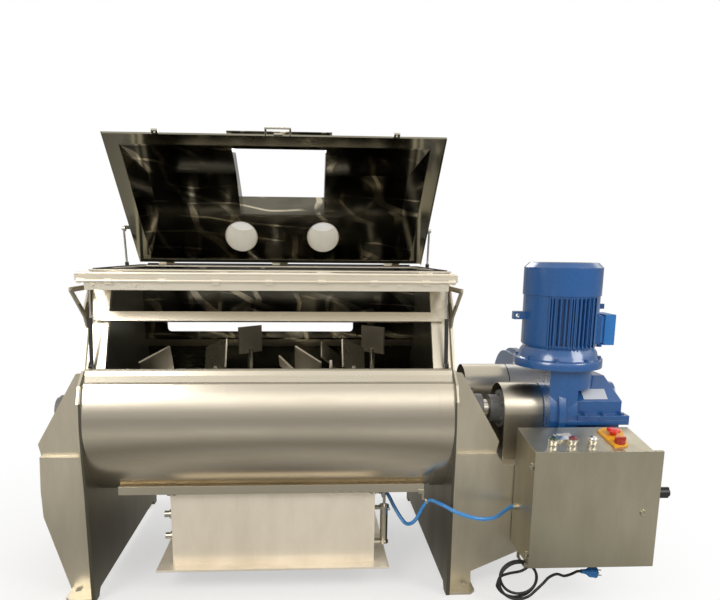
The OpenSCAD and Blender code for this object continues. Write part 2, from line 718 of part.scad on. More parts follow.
// ---- folding front door -------------------------------------------------------------
module front_door_upper() {
    color("silver") {
        block([-724, -572, 1347], [724, -351, 1350]);
        block([-724, -572, 1328], [724, -569, 1350]);
        both_x() block([721, -572, 1325], [724, -351, 1350]);
        bar_x(-718, 718, -570, 1352, 6);
        fold_pin();
        for (x = [-640, -215, 215, 640]) difference() {
            union() { bar_x(x + 1, x + 31, flap_y, flap_z, 6); block([x + 1, -356, 1344], [x + 31, -345, 1350]); }
            bar_x(x, x + 40, flap_y, flap_z, 3.08);
        }
        for (x = [-700, -400, 200, 700]) difference() {
            union() { bar_x(x - 14, x + 14, fold_y, fold_z, 7); block([x - 14, -581, 1326], [x + 14, -571, 1332]); }
            bar_x(x - 20, x + 20, fold_y, fold_z, 4);
        }
    }
}
module front_door_lower() {
    color("silver") {
        block([-690, -572, 1290], [690, -395, 1293]);
        block([-690, -572, 1290], [690, -569, 1322]);
        block([-690, -398, 1290], [690, -395, 1322]);
        both_x() block([687, -572, 1290], [690, -395, 1322]);
        for (x = [-600, -200, 0, 400, 600]) difference() {
            union() { bar_x(x - 14, x + 14, fold_y, fold_z, 7); block([x - 14, -582, 1312], [x + 14, -571, 1321]); }
            bar_x(x - 20, x + 20, fold_y, fold_z, 4.08);
        }
        for (x = [-660, -500, 500, 660]) translate([x, -572, 1311]) rotate([90, 0, 0]) cylinder(r = 7, h = 6, $fn = 6);
    }
}
module fold_pin() {
    bar_x(-700, 700, fold_y, fold_z, 4);
    for (x = [-706, 706]) translate([x, fold_y, fold_z]) rotate([90, 0, 0]) rotate_extrude($fn = 48) translate([8, 0]) circle(r = 2.5, $fn = 24);
}
door_spring_a = atan2(351, 40);
module door_spring_tubes() {
    color("dimgray") both_x() translate([708, 0, 0]) along(-492, 985, door_spring_a) difference() {
        union() { translate([-6, 0, 0]) rotate([0, 90, 0]) rod(9, 15); translate([0, 0, 6]) rod(8, 184); }
        translate([0, 0, 30]) rod(4.08, 170);
    }
}
module door_spring_rods() {
    color("silver") both_x() translate([708, 0, 0]) along(-492, 985, door_spring_a) {
        translate([0, 0, 123]) rod(4, 224);
        translate([-6, 0, 353.3]) rotate([0, 90, 0]) rod(8, 18);
    }
}

// ---- hoses and cables ----------------------------------------------------------------
module air_hose() {
    color("dodgerblue") tube([[459, -300, 385], [478, -300, 384], [506, -310, 364], [534, -338, 314], [562, -375, 274], [584, -404, 262], [612, -440, 296],
        [655, -476, 396], [695, -545, 412], [750, -606, 400], [830, -624, 380], [905, -600, 371], [965, -550, 378], [1000, -522, 385], [1013, -520, 385]], 8);
}
module hose_clip() {
    translate([655, -476, 396]) {
        difference() { rotate([0, 60, -35]) translate([0, 0, -5]) rod(11, 10); rotate([0, 60, -35]) translate([0, 0, -8]) rod(8.2, 16); }
        block([-24, 0, 6], [-6, 6, 12]);
        block([-24, 0, 6], [-15, 6, 38]);
        block([-40, 0, 34], [-15, 6, 50]);
    }
}
module coil(p, a, r) { translate(p) rotate(a) rotate_extrude($fn = 72) translate([r, 0]) circle(r = 6.5, $fn = 20); }
module mains_cable() {
    color("dimgray") {
        tube([[1070, -600, 189], [1070, -600, 172], [1060, -600, 150], [1035, -599, 132], [990, -599, 122], [960, -600, 112]], 6.5, 4, 8);
        coil([1017, -604, 104.5], [84, 0, 8], 82);
        coil([1015, -618, 104], [84, 0, 8], 83);
        coil([1019, -632, 104.5], [84, 0, 8], 82);
        tube([[1094, -633, 80], [1116, -636, 92], [1142, -634, 120], [1176, -630, 132], [1210, -624, 120], [1244, -614, 122], [1270, -608, 130],
            [1290, -606, 130]], 6.5, 4, 8);
    }
}
module mains_plug() {
    color("steelblue") translate([1289, -606, 130]) rotate([0, 96, 0]) {
        rod(14, 26);
        translate([0, 0, 26]) rod(23, 40);
        for (a = [0:120:240]) rotate([0, 0, a]) translate([12, 0, 66]) rod(3, 20);
    }
}
end_plate_left();
end_plate_right();
leg_gussets();
trough_shell();
trough_rims();
hood_front();
hood_rear();
lid_seat();
seat_gasket();
chute_rails();
discharge_chute();
door_bearings();
discharge_door_front();
discharge_door_rear();
air_cylinders();
cylinder_rods();
rotor_front_shaft();
rotor_front_paddles();
rotor_rear_shaft();
rotor_rear_paddles();
coupling_front();
coupling_rear();
shaft_seals();
shaft_bearings();
coupling_guards();
drive_base();
gear_case();
gear_cover();
motor_body();
fan_cowl();
cooling_fan();
terminal_box();
control_box();
box_bracket();
box_internals();
box_door();
panel_fittings();
estop_plate();
button_start();
button_stop();
button_jog();
estop_button();
selector_knob();
isolator_knob();
lid_panel();
lid_necks();
feed_neck();
port_caps();
lid_handle();
lid_spring_tubes();
lid_spring_rods();
front_door_upper();
front_door_lower();
door_spring_tubes();
door_spring_rods();
air_hose();
mains_cable();
mains_plug();
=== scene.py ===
import math

import bpy
import numpy as np
from mathutils import Matrix


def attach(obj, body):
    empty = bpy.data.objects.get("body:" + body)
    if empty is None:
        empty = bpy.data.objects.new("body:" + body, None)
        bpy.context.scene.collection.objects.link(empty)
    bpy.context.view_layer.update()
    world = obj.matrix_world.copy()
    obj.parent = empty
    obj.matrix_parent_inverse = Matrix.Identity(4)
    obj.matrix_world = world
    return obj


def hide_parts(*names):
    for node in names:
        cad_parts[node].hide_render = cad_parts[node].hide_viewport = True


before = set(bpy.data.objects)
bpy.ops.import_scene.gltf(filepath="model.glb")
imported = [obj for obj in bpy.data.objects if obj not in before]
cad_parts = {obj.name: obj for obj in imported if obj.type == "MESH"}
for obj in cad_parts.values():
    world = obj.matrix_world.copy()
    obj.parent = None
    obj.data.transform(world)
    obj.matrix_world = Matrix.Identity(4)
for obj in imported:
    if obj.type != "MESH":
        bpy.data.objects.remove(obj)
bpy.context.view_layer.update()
print("frame loaded:", len(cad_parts), "nodes")

camera = {
    "place": (0.1439, -3.0321, 1.440),
    "right": (0.99861, -0.05213, 0.00816),
    "up": (0.00166, 0.18552, 0.98264),
    "lens": 32.0,
    "shiftX": 0.0264,
    "shiftY": 0.1,
}


def addCamera(c):
    cam = bpy.data.cameras.new("camera")
    cam.lens, cam.sensor_width = c["lens"], 36.0
    cam.shift_x, cam.shift_y = c["shiftX"], c["shiftY"]
    cam.clip_end = 60
    obj = bpy.data.objects.new("camera", cam)
    bpy.context.collection.objects.link(obj)
    right, up = np.array(c["right"]), np.array(c["up"])
    back = np.cross(right, up)  # the camera looks along minus its own z
    m = np.eye(4)
    m[:3, 0], m[:3, 1], m[:3, 2], m[:3, 3] = right, up, back, c["place"]
    obj.matrix_world = Matrix(m.tolist())
    bpy.context.scene.camera = obj


addCamera(camera)


class Nodes:
    # short names for building a material's node tree
    def __init__(self, name):
        self.mat = bpy.data.materials.new(name)
        self.mat.use_nodes = True
        self.tree = self.mat.node_tree
        self.bsdf = self.tree.nodes["Principled BSDF"]
        self.coord = self.tree.nodes.new("ShaderNodeTexCoord").outputs["Object"]

    def add(self, kind, **inputs):
        n = self.tree.nodes.new(kind)
        for k, v in inputs.items():
            n.inputs[k.replace("_", " ")].default_value = v
        return n

    def link(self, a, b):
        self.tree.links.new(a, b)

    def mapped(self, scale, turn=(0, 0, 0)):
        m = self.add("ShaderNodeMapping", Scale=scale, Rotation=turn)
        self.link(self.coord, m.inputs["Vector"])
        return m.outputs[0]

    def noise(self, vector, scale, detail=3.0, rough=0.55):
        n = self.add("ShaderNodeTexNoise", Scale=scale, Detail=detail, Roughness=rough)
        self.link(vector, n.inputs["Vector"])
        return n.outputs["Fac"]

    def ramp(self, value, stops):
        r = self.tree.nodes.new("ShaderNodeValToRGB")
        while len(r.color_ramp.elements) < len(stops):
            r.color_ramp.elements.new(0.5)
        for e, (pos, col) in zip(r.color_ramp.elements, stops):
            e.position = pos
            e.color = (*col, 1) if hasattr(col, "__len__") else (col, col, col, 1)
        self.link(value, r.inputs["Fac"])
        return r.outputs["Color"]

    def blend(self, kind, a, b, fac=1.0):
        mix = self.add("ShaderNodeMixRGB", Fac=fac)
        mix.blend_type = kind
        self.link(a, mix.inputs["Color1"])
        self.link(b, mix.inputs["Color2"])
        return mix.outputs[0]

    def bump(self, height, strength, distance, rounded=0.0):
        b = self.add("ShaderNodeBump", Strength=strength, Distance=distance)
        self.link(height, b.inputs["Height"])
        if rounded:
            edge = self.add("ShaderNodeBevel", Radius=rounded)
            self.link(edge.outputs[0], b.inputs["Normal"])
        self.link(b.outputs["Normal"], self.bsdf.inputs["Normal"])


def brushedSteel(name, colour, rough, along="x", contrast=0.05, rounded=0.0015, smear=0.12, metal=1.0):
    # fine noise stretched along the grain, over wide soft smears that darken and roughen the sheet
    n = Nodes(name)
    scale = {"x": (0.006, 1, 1), "z": (1, 1, 0.006)}[along]
    wide = {"x": (0.35, 1.6, 1.6), "z": (1.6, 1.6, 0.5)}[along]
    lines = n.noise(n.mapped(scale), 1500, 4.0, 0.7)
    cloud = n.noise(n.mapped(wide), 3.1, 5.0, 0.6)
    c = np.array(colour)
    dim, bright = c * (1 - contrast), np.minimum(c * (1 + contrast), 1)
    base = n.ramp(lines, [(0.3, tuple(dim)), (0.7, tuple(bright))])
    low = 1 - smear
    tint = n.ramp(cloud, [(0.32, (low, low * 0.985, low * 0.95)), (0.68, (1, 1, 1))])
    n.link(n.blend("MULTIPLY", base, tint), n.bsdf.inputs["Base Color"])
    n.bsdf.inputs["Metallic"].default_value = metal
    n.link(n.ramp(cloud, [(0.3, rough * 1.2), (0.7, rough * 0.85)]), n.bsdf.inputs["Roughness"])
    n.bump(lines, 0.05, 0.0003, rounded)
    return n.mat


# painted reflections on the polished inside: one warm streak pattern a row
streaks = [
    {"turn": (0.3, 0.75, 0.2), "scale": 1.35, "bend": 7.0, "edge": 0.90, "gate": 1.7},
    {"turn": (0.1, 1.45, 0.2), "scale": 2.1, "bend": 4.5, "edge": 0.955, "gate": 3.3},
    {"turn": (0.15, 0.1, 0.1), "scale": 1.6, "bend": 6.0, "edge": 0.945, "gate": 4.6},
]


def mirrorSteel(name, dark, warm, rough):
    # a polished mirror painted near black: painted shade for the dark inside that it reflects. Thin warm
    # streaks along and across it and a few soft patches are painted reflections that stand for what the room
    # throws into it. Each streak is a wave's crest, bent by noise and let through where another noise is high
    n = Nodes(name)
    patch = n.noise(n.mapped((1.3, 2.0, 3.2)), 2.1, 3.0, 0.55)
    lighter, warmer = np.array(dark) * 2.2, np.array(warm) * 0.35
    total = n.ramp(patch, [(0.36, dark), (0.60, tuple(lighter)), (0.76, tuple(warmer))])
    for k in streaks:
        wave = n.add("ShaderNodeTexWave", Scale=k["scale"], Distortion=k["bend"], Detail=2.0)
        n.link(n.mapped((1.0, 1.4, 1.9), k["turn"]), wave.inputs["Vector"])
        crest = n.ramp(wave.outputs["Fac"], [(k["edge"], (0, 0, 0)), (k["edge"] + 0.03, warm)])
        gate = n.noise(n.mapped((1, 1.6, 1)), k["gate"], 2.0)
        keep = n.ramp(gate, [(0.47, (0, 0, 0)), (0.58, (1, 1, 1))])
        total = n.blend("ADD", total, n.blend("MULTIPLY", crest, keep))
    n.link(total, n.bsdf.inputs["Base Color"])
    n.bsdf.inputs["Metallic"].default_value = 1.0
    n.bsdf.inputs["Roughness"].default_value = rough
    return n.mat


def mathStep(tree, kind, operation, source, value=None):
    # one maths node fed by a socket, with an optional fixed second value
    n = tree.nodes.new(kind)
    n.operation = operation
    if value is not None:
        n.inputs[1].default_value = value
    tree.links.new(source, n.inputs[0])
    return n.outputs["Value"]


def recoloured(mat, mask, colour):
    # where the mask is 1 the sheet has another colour
    tree = mat.node_tree
    base = tree.nodes["Principled BSDF"].inputs["Base Color"]
    mix = tree.nodes.new("ShaderNodeMixRGB")
    mix.inputs["Color2"].default_value = (*colour, 1)
    tree.links.new(mask, mix.inputs["Fac"])
    tree.links.new(base.links[0].from_socket, mix.inputs["Color1"])
    tree.links.new(mix.outputs[0], base)
    return mat


trough = {"shaftY": 0.24, "shaftZ": 0.745, "insideRadius": 0.3365}


def shadedBore(mat, colour):
    # painted shade: the inside of the rolled trough takes a dark colour for the shade under the hood
    # a point is inside the rolled trough when it's nearer to a shaft than the bore's radius
    tree = mat.node_tree
    split = tree.nodes.new("ShaderNodeSeparateXYZ")
    tree.links.new(tree.nodes["Texture Coordinate"].outputs["Object"], split.inputs[0])
    side = mathStep(tree, "ShaderNodeMath", "ABSOLUTE", split.outputs["Y"])
    offset = tree.nodes.new("ShaderNodeCombineXYZ")
    across = mathStep(tree, "ShaderNodeMath", "SUBTRACT", side, trough["shaftY"])
    above = mathStep(tree, "ShaderNodeMath", "SUBTRACT", split.outputs["Z"], trough["shaftZ"])
    tree.links.new(across, offset.inputs["Y"])
    tree.links.new(above, offset.inputs["Z"])
    distance = mathStep(tree, "ShaderNodeVectorMath", "LENGTH", offset.outputs[0])
    near = mathStep(tree, "ShaderNodeMath", "LESS_THAN", distance, trough["insideRadius"])
    return recoloured(mat, near, colour)


def beyondPlane(mat, plane):
    # a point is beyond the plane when its distance along the plane's normal is more than the least one
    tree = mat.node_tree
    place = tree.nodes["Texture Coordinate"].outputs["Object"]
    along = mathStep(tree, "ShaderNodeVectorMath", "DOT_PRODUCT", place, plane["normal"])
    over = mathStep(tree, "ShaderNodeMath", "GREATER_THAN", along, plane["least"])
    return recoloured(mat, over, plane["colour"])


# a glow for a part that is no lamp: painted light
def paintedGlow(mat, colour, strength):
    bsdf = mat.node_tree.nodes["Principled BSDF"]
    bsdf.inputs["Emission Color"].default_value = (*colour, 1)
    bsdf.inputs["Emission Strength"].default_value = strength
    return mat


def painted(name, colour, rough, coat=0.0, wear=0.06, grain=60.0, bump=0.04, rounded=0.0):
    n = Nodes(name)
    cloud = n.noise(n.mapped((1, 1, 1)), grain, 3.0)
    c = np.array(colour)
    dim, bright = c * (1 - wear), np.minimum(c * (1 + wear), 1)
    n.link(n.ramp(cloud, [(0.35, tuple(dim)), (0.65, tuple(bright))]), n.bsdf.inputs["Base Color"])
    n.bsdf.inputs["Roughness"].default_value = rough
    n.bsdf.inputs["Coat Weight"].default_value = coat
    n.bsdf.inputs["Coat Roughness"].default_value = 0.08
    n.bump(cloud, bump, 0.001, rounded)
    return n.mat


def endSheet(name, side):
    # an end plate: its inner face is painted darker, up to the hood's ears, as painted shade for the shaded
    # inside of the trough.
    # The plane leans a little so that it passes through the plate's thickness there
    sheet = brushedSteel(name, (0.78, 0.725, 0.60), 0.34, "z", smear=0.2, metal=0.9)
    plane = {"normal": (-side, 0, -0.0095), "least": -0.7497, "colour": (0.15, 0.14, 0.11)}
    return beyondPlane(sheet, plane)


# the polished inside's colours: a near black that is painted shade, and a warm colour for painted reflections
polish = {"dark": (0.085, 0.081, 0.066), "warm": (0.50, 0.45, 0.35), "rough": 0.10}
# the lid's flat frame lies beyond this plane, on the trough's side; its polished roof lies behind it
# the frame is painted a plain lighter colour than the polished roof of the same sheet: painted reflection
litLidFrame = {"normal": (0, -0.70711, -0.70711), "least": -1.2915, "colour": (0.34, 0.325, 0.26)}

finishes = {
    "brushed": brushedSteel("brushedSheet", (0.70, 0.65, 0.555), 0.30),
    "brushedUp": brushedSteel("brushedUpright", (0.78, 0.725, 0.60), 0.38, "z", smear=0.2, metal=0.9),
    # the shell's inside is painted dark: painted shade
    "shell": shadedBore(
        brushedSteel("rolledShell", (0.76, 0.70, 0.60), 0.235, rounded=0.0, smear=0.16), (0.12, 0.115, 0.09)
    ),
    "plateLeft": endSheet("plateLeft", -1),
    "plateRight": endSheet("plateRight", 1),
    "box": brushedSteel("boxSheet", (0.60, 0.565, 0.455), 0.36, "z", smear=0.22),
    "chute": brushedSteel("chuteSheet", (0.96, 0.88, 0.75), 0.34, "z", contrast=0.04, smear=0.2, metal=0.5),
    "rail": brushedSteel("railSteel", (0.80, 0.745, 0.64), 0.27, contrast=0.04, rounded=0.002, smear=0.1),
    "doorSheet": brushedSteel(
        "doorSheet", (0.97, 0.90, 0.77), 0.30, contrast=0.04, rounded=0.002, metal=0.65
    ),
    "neck": brushedSteel("neckSteel", (0.86, 0.83, 0.76), 0.34, "z"),
    "turned": brushedSteel("turnedSteel", (0.70, 0.67, 0.60), 0.17, rounded=0.001, smear=0.05),
    "chrome": brushedSteel("chromeTrim", (0.80, 0.79, 0.77), 0.10, contrast=0.02, rounded=0.0006, smear=0.03),
    "inside": mirrorSteel("polishedInside", **polish),
    "lidInside": beyondPlane(mirrorSteel("lidInside", **polish), litLidFrame),
    "blue": painted("blueEnamel", (0.016, 0.092, 0.285), 0.22, 0.9, 0.05, 70, 0.06, 0.004),
    "bluePlastic": painted("bluePlastic", (0.02, 0.16, 0.46), 0.35, 0, 0.04, 60, 0.02, 0.002),
    "hose": painted("hosePlastic", (0.045, 0.24, 0.58), 0.28, 0.3),
    "cast": painted("castGrey", (0.17, 0.17, 0.165), 0.5, 0.0, 0.12, 90, 0.2, 0.003),
    "rubber": painted("blackRubber", (0.016, 0.016, 0.017), 0.5),
    "black": painted("blackPlastic", (0.018, 0.018, 0.02), 0.4),
    # the pale caps glow: painted light that stands for light coming through them
    "white": paintedGlow(painted("paleCap", (0.86, 0.85, 0.81), 0.4), (1, 0.99, 0.96), 0.42),
    "green": painted("greenLens", (0.006, 0.035, 0.026), 0.2, 0.6),
    "darkRed": painted("redLens", (0.16, 0.012, 0.022), 0.2, 0.6),
    "plate": painted("palePlate", (0.50, 0.53, 0.60), 0.35, 0.3, 0.03),
    "red": painted("redMushroom", (0.70, 0.018, 0.012), 0.25, 0.5),
    "orange": painted("orangeKnob", (0.40, 0.030, 0.016), 0.35, 0.3),
    "yellow": painted("yellowPlate", (0.88, 0.42, 0.02), 0.4, 0.1),
    "beige": painted("insideParts", (0.42, 0.42, 0.38), 0.5),
}
print("finishes made:", len(finishes))

nodesOf = {
    "shell": ["trough_shell"],
    "rail": ["trough_rims", "hood_front", "chute_rails"],
    "doorSheet": ["front_door_upper", "front_door_lower", "lid_seat"],
    "plateLeft": ["end_plate_left"],
    "plateRight": ["end_plate_right"],
    "brushedUp": ["leg_gussets", "drive_base"],
    "chute": ["discharge_chute"],
    "inside": ["hood_rear", "feed_neck", "discharge_door_front", "discharge_door_rear"],
    "lidInside": ["lid_panel"],
    "neck": ["lid_necks"],
    "white": ["port_caps"],
    "rubber": ["seat_gasket", "mains_cable"],
    "turned": [
        "rotor_front_shaft", "rotor_rear_shaft", "shaft_seals", "door_bearings", "air_cylinders",
        "lid_handle",
    ],
    "brushed": ["rotor_front_paddles", "rotor_rear_paddles", "coupling_guards", "box_bracket"],
    "cast": ["coupling_front", "coupling_rear", "shaft_bearings"],
    "chrome": ["cylinder_rods", "panel_fittings", "button_jog", "lid_spring_rods", "door_spring_rods"],
    "blue": ["gear_case", "gear_cover", "motor_body", "fan_cowl"],
    "bluePlastic": ["terminal_box", "mains_plug"],
    "black": ["cooling_fan", "isolator_knob", "lid_spring_tubes", "door_spring_tubes"],
    "box": ["control_box", "box_door"],
    "beige": ["box_internals"],
    "yellow": ["estop_plate"],
    "green": ["button_start"],
    "darkRed": ["button_stop"],
    "red": ["estop_button"],
    "orange": ["selector_knob"],
    "hose": ["air_hose"],
}


def setFinish(obj, mat):
    if obj.material_slots:
        for s in obj.material_slots:
            s.material = mat
    else:
        obj.data.materials.append(mat)


for finish, names in nodesOf.items():
    for name in names:
        setFinish(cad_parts[name], finishes[finish])
print("finishes given to the nodes")


def smoothLine(points, steps):
    # a curve through the points: each stretch is a cubic set by the two points before and after it
    p = np.array(points, float)
    q = np.vstack([p[:1], p, p[-1:]])
    t = np.linspace(0, 1, steps, endpoint=False)[None, :, None]
    a, b, c, d = (q[i : len(q) - 3 + i, None, :] for i in range(4))
    s = 0.5 * (2 * b + (c - a) * t + (2 * a - 5 * b + 4 * c - d) * t**2 + (3 * b - a - 3 * c + d) * t**3)
    return np.vstack([s.reshape(-1, 3), p[-1:]])


def cordCurve(name, line, radius, finish):
    curve = bpy.data.curves.new(name, "CURVE")
    curve.dimensions = "3D"
    curve.bevel_depth, curve.bevel_resolution, curve.use_fill_caps = radius, 5, True
    sp = curve.splines.new("POLY")
    sp.points.add(len(line) - 1)
    sp.points.foreach_set("co", np.hstack([line, np.ones((len(line), 1))]).ravel())
    curve.materials.append(finishes[finish])
    obj = bpy.data.objects.new(name, curve)
    bpy.context.collection.objects.link(obj)
    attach(obj, "frame")
    return obj


airLine = {
    "radius": 0.008,
    "steps": 14,
    "points": [
        (0.460, -0.300, 0.385), (0.478, -0.300, 0.384), (0.506, -0.310, 0.364), (0.534, -0.338, 0.314),
        (0.562, -0.375, 0.274), (0.584, -0.404, 0.262), (0.612, -0.440, 0.296), (0.655, -0.476, 0.396),
        (0.695, -0.545, 0.412), (0.750, -0.606, 0.400), (0.830, -0.624, 0.380), (0.905, -0.600, 0.371),
        (0.965, -0.550, 0.378), (1.000, -0.522, 0.385), (1.0125, -0.520, 0.385),
    ],
}


def addAirLine(a):
    line = smoothLine(a["points"], a["steps"])
    hose = cordCurve("airLine", line, a["radius"], "hose")
    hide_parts("air_hose")


addAirLine(airLine)

mains = {
    "radius": 0.0057,
    "lead": [
        (1.070, -0.600, 0.189), (1.070, -0.600, 0.174), (1.063, -0.600, 0.152), (1.035, -0.599, 0.132),
        (0.985, -0.599, 0.122), (0.948, -0.601, 0.108),
    ],
    "coilMiddle": (1.017, -0.604),
    "coilTop": 0.1826,
    "acrossByTurn": [(0, 0.088), (1, 0.074), (2, 0.082), (2.4, 0.080)],
    "dropByTurn": [(0, 0.083), (1, 0.066), (2, 0.078), (2.4, 0.076)],
    "from": 200.0,
    "to": 1040.0,
    "coilPoints": 130,
    "sway": 0.006,
    "step": 0.014,
    "tail": [
        (1.118, -0.636, 0.094), (1.142, -0.634, 0.120), (1.176, -0.630, 0.132), (1.210, -0.624, 0.120),
        (1.244, -0.614, 0.122), (1.270, -0.608, 0.130), (1.289, -0.606, 0.1301),
    ],
    "leadSteps": 12,
    "plugStart": (1.289, -0.606, 0.130),
    "plugAxis": (0.9945, 0, -0.1045),
    # a tapered strain relief, a ribbed grip and a collar with a hollow end
    "grip": [
        (0, 0), (0.0085, 0), (0.0095, 0.012), (0.0115, 0.024), (0.014, 0.026), (0.0165, 0.030),
        (0.021, 0.036), (0.022, 0.040), (0.0205, 0.043), (0.022, 0.046), (0.0205, 0.049), (0.022, 0.052),
        (0.0205, 0.055), (0.022, 0.058), (0.023, 0.060), (0.023, 0.0645), (0.0222, 0.0655),
        (0.0195, 0.0655), (0.0195, 0.0635), (0, 0.0635),
    ],
    "pin": [(0, 0.060), (0.0029, 0.060), (0.0029, 0.083), (0.0022, 0.0855), (0, 0.0858)],
    "pinCircle": 0.012,
    "pinAngles": (90, 210, 330),
    "nutPlace": (1.070, -0.600, 0.1815),
    "nut": [(0, 0), (0.0078, 0), (0.0105, 0.0015), (0.0105, 0.010), (0.0125, 0.0115), (0, 0.0115)],
}


def mainsLine(m):
    # the coil hangs on its hook: every turn is an oval with the same top, a size of its own, and a step
    # forward of a little more than the cable's width
    a = np.radians(np.linspace(m["from"], m["to"], m["coilPoints"]))
    turns = (a - a[0]) / (2 * math.pi)
    across, drop = (np.interp(turns, *np.array(m[k]).T) for k in ("acrossByTurn", "dropByTurn"))
    x = m["coilMiddle"][0] + across * np.cos(a)
    y = m["coilMiddle"][1] - m["step"] * turns + m["sway"] * np.sin(a)
    z = m["coilTop"] - drop + drop * np.sin(a)
    coil = np.stack([x, y, z], 1)
    lead = smoothLine(np.vstack([m["lead"], coil[:1]]), m["leadSteps"])
    tail = smoothLine(np.vstack([coil[-1:], m["tail"]]), m["leadSteps"])
    return np.vstack([lead[:-1], coil[:-1], tail])


def mesh(name, verts, faces, finish, body="frame", smooth=True):
    me = bpy.data.meshes.new(name)
    me.from_pydata(np.asarray(verts).tolist(), [], [list(map(int, f)) for f in faces])
    me.polygons.foreach_set("use_smooth", [smooth] * len(me.polygons))
    me.materials.append(finishes[finish])
    me.update()
    obj = bpy.data.objects.new(name, me)
    bpy.context.collection.objects.link(obj)
    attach(obj, body)
    return obj


def ringFaces(rows, sides):
    # the quads between neighbouring rings that all have the same number of points
    i, j = np.meshgrid(np.arange(rows - 1), np.arange(sides), indexing="ij")
    k = (j + 1) % sides
    quads = [i * sides + j, i * sides + k, (i + 1) * sides + k, (i + 1) * sides + j]
    return np.stack(quads, -1).reshape(-1, 4)


def turned(profile, place, axis, sides):
    # a profile of (radius, height) pairs turned about an axis; its first and last points lie on the axis
    p = np.array(profile, float)
    w = np.array(axis, float) / np.linalg.norm(axis)
    u = np.cross(w, (0, 0, 1) if abs(w[2]) < 0.9 else (1, 0, 0))
    u /= np.linalg.norm(u)
    v = np.cross(w, u)
    a = np.linspace(0, 2 * math.pi, sides, endpoint=False)
    ring = np.cos(a)[:, None] * u + np.sin(a)[:, None] * v
    body = (p[1:-1, 0, None, None] * ring + p[1:-1, 1, None, None] * w).reshape(-1, 3)
    verts = np.vstack([body, p[:1, 1, None] * w, p[-1:, 1, None] * w]) + np.array(place)
    rows = len(p) - 2
    j = np.arange(sides)
    k = (j + 1) % sides
    n = rows * sides
    first = np.stack([k, j, np.full(sides, n)], -1)
    last = np.stack([(rows - 1) * sides + j, (rows - 1) * sides + k, np.full(sides, n + 1)], -1)
    return verts, list(ringFaces(rows, sides)) + list(first) + list(last)


def joined(parts):
    # several surfaces as one: each part's face numbers are shifted past the vertices before it
    verts, faces, n = [], [], 0
    for v, f in parts:
        verts.append(v)
        faces += [np.asarray(q) + n for q in f]
        n += len(v)
    return np.vstack(verts), faces


def addMains(m):
    line = mainsLine(m)
    cable = cordCurve("mainsLead", line, m["radius"], "rubber")
    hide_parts("mains_cable")
    d = np.array(m["plugAxis"])
    start = np.array(m["plugStart"])
    pins = []
    side = np.array((0.0, 1.0, 0.0))
    up = np.cross(d, side)
    for t in m["pinAngles"]:
        around = math.cos(math.radians(t)) * side + math.sin(math.radians(t)) * up
        pins.append(turned(m["pin"], start + m["pinCircle"] * around, d, 20))
    plug = mesh("mainsPlugBody", *turned(m["grip"], start, d, 48), "bluePlastic")
    metal = mesh("mainsPlugPins", *joined(pins), "chrome")
    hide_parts("mains_plug")
    # the nut that grips the cable under the box
    mesh("mainsGlandNut", *turned(m["nut"], m["nutPlace"], (0, 0, 1), 12), "black", smooth=False)


addMains(mains)
print("cords made")

motor = {
    "axis": (1.255, -0.274, 0.0),
    "barrel": 0.160,
    "root": 0.149,
    "finTip": 0.1635,
    "finWidth": 0.0055,
    "fins": np.linspace(-0.088, 0.088, 12),
    "pocketHalf": 0.100,
    "pocket": (1.056, 1.252),
    "shoulder": [(1.036, 0.010), (1.046, 0.002), (1.050, 0.0)],
    "top": 1.266,
    "sidePoints": 32,
    "foot": [
        (0, 0.953), (0.188, 0.953), (0.1885, 0.956), (0.1885, 0.986), (0.186, 0.989), (0.172, 0.991),
        (0.168, 1.000), (0.163, 1.020), (0.152, 1.034), (0.149, 1.042), (0, 1.042),
    ],
}


def addMotor(m):
    # the barrel is a polar sheet: its radius steps down between the fins of the front and back pockets,
    # where the angle of an edge at distance x from the middle is asin(x / barrel)
    half = m["pocketHalf"]
    edges = [(-half, m["barrel"]), (-half, m["root"])]
    for x in m["fins"]:
        a, b = x - m["finWidth"] / 2, x + m["finWidth"] / 2
        edges += [(a, m["root"]), (a, m["finTip"]), (b, m["finTip"]), (b, m["root"])]
    edges += [(half, m["root"]), (half, m["barrel"])]
    x, r = np.array(edges).T
    front = np.arcsin(x / m["barrel"])
    side = np.linspace(front[-1], math.pi - front[-1], m["sidePoints"] + 2)[1:-1]
    angle = np.concatenate([front, side, front + math.pi, side + math.pi])
    radius = np.concatenate([r, np.full(m["sidePoints"], m["barrel"])] * 2)
    full = np.full(len(angle), m["barrel"])
    low, high = m["pocket"]
    rows = [(h, full - less) for h, less in m["shoulder"]]
    rows += [(low, full), (low, radius), (high, radius), (high, full), (m["top"], full)]
    z = np.repeat([h for h, _ in rows], len(angle))
    rad = np.concatenate([q for _, q in rows])
    th = np.tile(angle, len(rows))
    verts = np.stack([m["axis"][0] + rad * np.sin(th), m["axis"][1] - rad * np.cos(th), z], 1)
    barrel = mesh("motorBarrel", verts, ringFaces(len(rows), len(angle)), "blue")
    barrel.data.set_sharp_from_angle(angle=math.radians(35))
    foot = mesh("motorFoot", *turned(m["foot"], m["axis"], (0, 0, 1), 96), "blue")
    foot.data.set_sharp_from_angle(angle=math.radians(40))


addMotor(motor)

